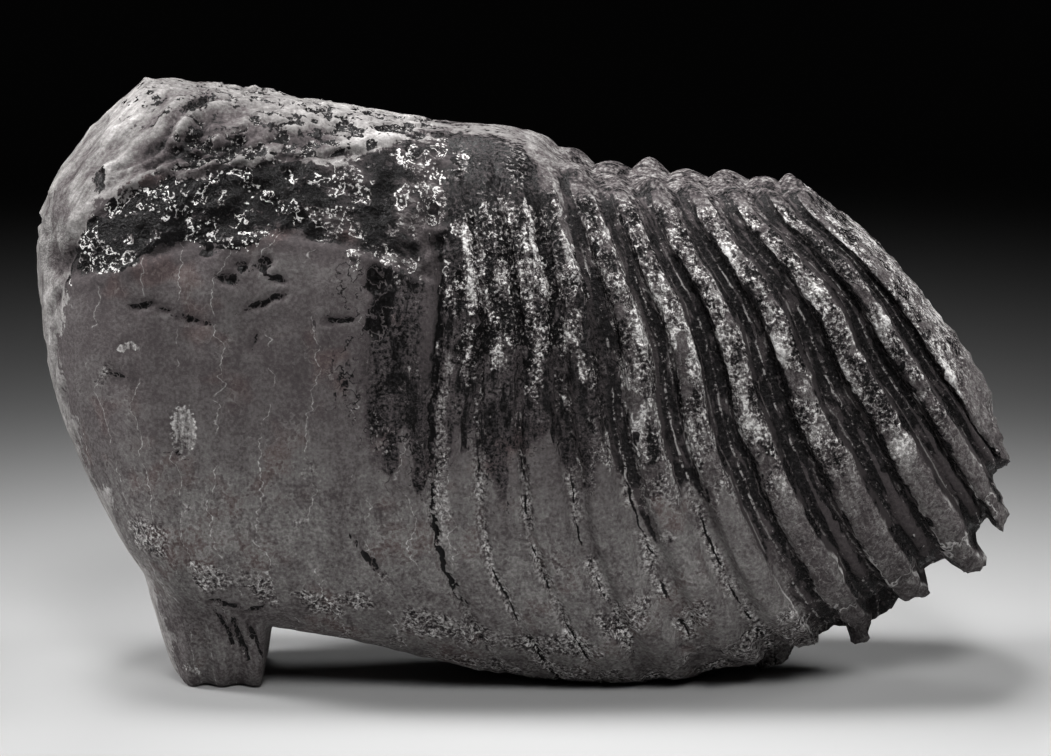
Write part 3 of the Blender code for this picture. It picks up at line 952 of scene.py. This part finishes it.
class ToothForm(bpy.types.PropertyGroup):
    """Sizes of the tooth's skin"""

    crown_half_width: length("Crown half width", "Half the width of the crown at its widest", 0.043)
    groove_depth: length("Groove depth", "Depth of a groove between two ribs", 0.0038)
    groove_wander: share("Groove wander", "How far a groove strays, in plates", 0.05)
    groove_floor: share("Groove floor", "Half the width of a groove's floor, in plates", 0.16)
    groove_edge: share("Groove edge", "Half the width of a groove between its ribs, in plates", 0.34)
    crest_rounding: length("Crest rounding", "How much a rib rounds off to its grooves", 0.0010)
    enamel_line: length("Enamel line", "Height of the thin line along the bottom of a groove", 0.0007)
    foot_notch: length("Foot notch", "How far a groove cuts into the plates' feet", 0.0085)
    tip_notch: length("Tip notch", "How far a groove cuts into the unworn tops", 0.0012)
    tip_height: length("Tip height", "Height of the finger tips on the unworn plates", 0.0030)
    tip_valley: length("Tip valley", "Depth of the valley between the two rows of finger tips", 0.0030)
    band_depth: length("Band depth", "Depth of the flaked band under the shoulders", 0.0014)
    lump_height: length("Lump height", "Height of the broad lumps", 0.0013)
    lump_size: length("Lump size", "Size of the broad lumps", 0.013)
    fine_relief: length("Fine relief", "Height of the fine lumps all over", 0.0006)
    grain_height: length("Grain height", "Height of the grain on the roughest skin", 0.0009)
    crust_height: length("Crust height", "Height of the rough crust along the ribs", 0.0007)
    flake_height: length("Flake height", "Height of the broken skin of the flaked band", 0.0015)
    lip_height: length("Lip height", "Height of the lip over the flaked band", 0.0011)
    tongue_height: length("Tongue height", "Height of the enamel tongues low in the grooves", 0.0016)
    fold_height: length("Fold height", "Height of the folds on the worn front", 0.0013)
    fold_pitch: length("Fold pitch", "Distance between the folds on the worn front", 0.0056)
    dent_depth: length("Dent depth", "Depth of the hollows above the flaked band", 0.0022)
    pit_depth: length("Pit depth", "Depth of the pits in the worn top", 0.0012)
    chip_depth: length("Chip depth", "Depth of the chips in the walls", 0.0010)
    foot_height: length("Foot height", "Height of the lumps on the plates' broken feet", 0.0016)


class ToothLook(bpy.types.PropertyGroup):
    """Tones and colours of the fossil finish"""

    wall_tone: share("Wall tone", "Tone of the smooth wall, from black at 0 to white at 1", 0.325)
    rib_tone: share("Rib tone", "Tone of the rough crests of the ribs", 0.37)
    # The worn tone is paler than the wall partly for real wear and partly as painted light on the top and
    # the front end.
    worn_and_lit_tone: share("Worn tone", "Tone of the worn skin on top and in front", 0.435)
    black_tone: share("Black tone", "Tone of the black glaze", 0.07)
    pit_colour: colour("Pit colour", "Deepest black", (0.004, 0.0037, 0.0038))
    black_colour: colour("Black glaze", "Glassy black grooves, band and chips", (0.0105, 0.0098, 0.0101))
    wall_colour: colour("Wall", "Smooth cement of the wall", (0.074, 0.0640, 0.0655))
    rib_colour: colour("Rib", "Rough skin along the ribs", (0.150, 0.1425, 0.1395))
    # The worn colour is likewise partly real wear and partly painted light on the top and the front end.
    worn_and_lit_colour: colour("Worn skin", "Dull worn skin on top and in front", (0.268, 0.256, 0.251))
    # The fleck colour serves both pale grains and painted glints and highlight threads.
    fleck_and_glint_colour: colour("Fleck", "Bright flecks and threads", (0.700, 0.685, 0.675))
    stain: colour("Stain", "What a red-brown stain leaves of each colour", (1.00, 0.88, 0.86))


class StudioSettings(bpy.types.PropertyGroup):
    """The floor, the lamps and the camera"""

    floor_radius: length("Floor radius", "Radius of the round floor", 3.0)
    floor_colour: colour("Floor", "Pale floor round the tooth", (0.28, 0.28, 0.28))
    camera_distance: length("Camera distance", "From the camera to the point that it looks at", 1.1)
    camera_height: length("Aim height", "Height of the point that the camera looks at", 0.079)
    camera_elevation: bpy.props.FloatProperty(
        name="Camera elevation",
        description="How far the camera looks down",
        default=math.radians(11.5),
        subtype="ANGLE",
    )
    frame_width: length("Frame width", "Width of the view at the point that the camera looks at", 0.27326)
    lamp_power: bpy.props.FloatProperty(
        name="Lamp power", description="Power of the main lamp", default=0.8, unit="POWER"
    )


class TOOTH_OT_build(bpy.types.Operator):
    """Build the tooth's skin and finish in place of its plain solid"""

    bl_idname = "fossil_tooth.build"
    bl_label = "Build Tooth"

    def execute(self, context):
        settings = context.scene
        skin = bpy.data.objects.new("tooth_skin", tooth_skin(settings.tooth_form))
        context.collection.objects.link(skin)
        skin.data.materials.append(fossil_finish(settings.tooth_look))
        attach(skin, "root")
        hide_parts("tooth")
        return {"FINISHED"}


LAMP_AIM_Y = -0.05
LAMP_BEAM = math.radians(24.0)
SURROUND_STRENGTH = 0.006


def aim(thing, place, target):
    """Puts a lamp or a camera at a place, turned to a target."""
    thing.location = place
    thing.rotation_mode = "QUATERNION"
    thing.rotation_quaternion = (Vector(target) - Vector(place)).to_track_quat("-Z", "Y")


class TOOTH_OT_stage(bpy.types.Operator):
    """Set up the floor, the lamps and the camera"""

    bl_idname = "fossil_tooth.stage"
    bl_label = "Build Studio"

    # Each lamp: name, place, share of the main lamp's power, size in metres.
    LAMPS = (
        ("overhead", (-0.15, 0.00, 1.15), 0.70, 0.40),
        ("left", (-0.85, 0.00, 0.70), 1.00, 0.40),
        ("front", (0.10, -0.80, 1.00), 0.95, 0.55),
        ("right", (0.85, 0.00, 0.70), 0.40, 0.40),
        ("back", (-0.05, 0.75, 0.95), 0.25, 0.50),
    )

    def execute(self, context):
        settings = context.scene.tooth_studio
        self.floor(context, settings)
        self.world(context)
        for name, place, power_share, size in self.LAMPS:
            light = bpy.data.lights.new(name, "AREA")
            light.energy = settings.lamp_power * power_share
            light.size = size
            light.spread = LAMP_BEAM
            lamp = bpy.data.objects.new(name, light)
            context.collection.objects.link(lamp)
            aim(lamp, place, (0.0, LAMP_AIM_Y, settings.camera_height))
        self.camera(context, settings)
        return {"FINISHED"}

    def floor(self, context, settings):
        """A round pale floor."""
        disc = bmesh.new()
        bmesh.ops.create_circle(disc, cap_ends=True, segments=96, radius=settings.floor_radius)
        mesh = bpy.data.meshes.new("floor")
        disc.to_mesh(mesh)
        disc.free()
        paint = Finish("floor_paint")
        paint.shade("Base Color", settings.floor_colour)
        paint.shade("Roughness", 0.8)
        mesh.materials.append(paint.material)
        floor = bpy.data.objects.new("floor", mesh)
        context.collection.objects.link(floor)

    def world(self, context):
        """A dim, even surround."""
        world = bpy.data.worlds.new("studio")
        world.use_nodes = True
        surround = world.node_tree.nodes["Background"]
        surround.inputs["Color"].default_value = (0.5, 0.5, 0.5, 1.0)
        surround.inputs["Strength"].default_value = SURROUND_STRENGTH
        context.scene.world = world

    def camera(self, context, settings):
        """The camera, which sees a frame of the stated width at its aim point."""
        lens = bpy.data.cameras.new("camera")
        camera = bpy.data.objects.new("camera", lens)
        context.collection.objects.link(camera)
        elevation = settings.camera_elevation
        target = Vector((GUIDE_SHIFT, 0.0, settings.camera_height))
        back = Vector((0.0, -math.cos(elevation), math.sin(elevation)))
        aim(camera, target + settings.camera_distance * back, target)
        lens.lens = lens.sensor_width * settings.camera_distance / settings.frame_width
        lens.clip_start = 0.01
        context.scene.camera = camera
        context.scene.view_settings.view_transform = "Standard"


class TOOTH_PT_sidebar(bpy.types.Panel):
    """The tooth's operators and settings"""

    bl_idname = "TOOTH_PT_sidebar"
    bl_label = "Fossil Tooth"
    bl_space_type = "VIEW_3D"
    bl_region_type = "UI"
    bl_category = "Fossil Tooth"

    def draw(self, context):
        for operator in (TOOTH_OT_build, TOOTH_OT_stage):
            self.layout.operator(operator.bl_idname)
        for group in GROUPS:
            settings = getattr(context.scene, group)
            box = self.layout.box()
            for name in settings.__annotations__:
                box.prop(settings, name)


GROUPS = {"tooth_form": ToothForm, "tooth_look": ToothLook, "tooth_studio": StudioSettings}
CLASSES = (*GROUPS.values(), TOOTH_OT_build, TOOTH_OT_stage, TOOTH_PT_sidebar)


def register():
    for each in CLASSES:
        bpy.utils.register_class(each)
    for name, group in GROUPS.items():
        setattr(bpy.types.Scene, name, bpy.props.PointerProperty(type=group))


def unregister():
    for name in GROUPS:
        delattr(bpy.types.Scene, name)
    for each in reversed(CLASSES):
        bpy.utils.unregister_class(each)


def main():
    register()
    bpy.ops.fossil_tooth.build()
    bpy.ops.fossil_tooth.stage()


if __name__ == "__main__":
    main()
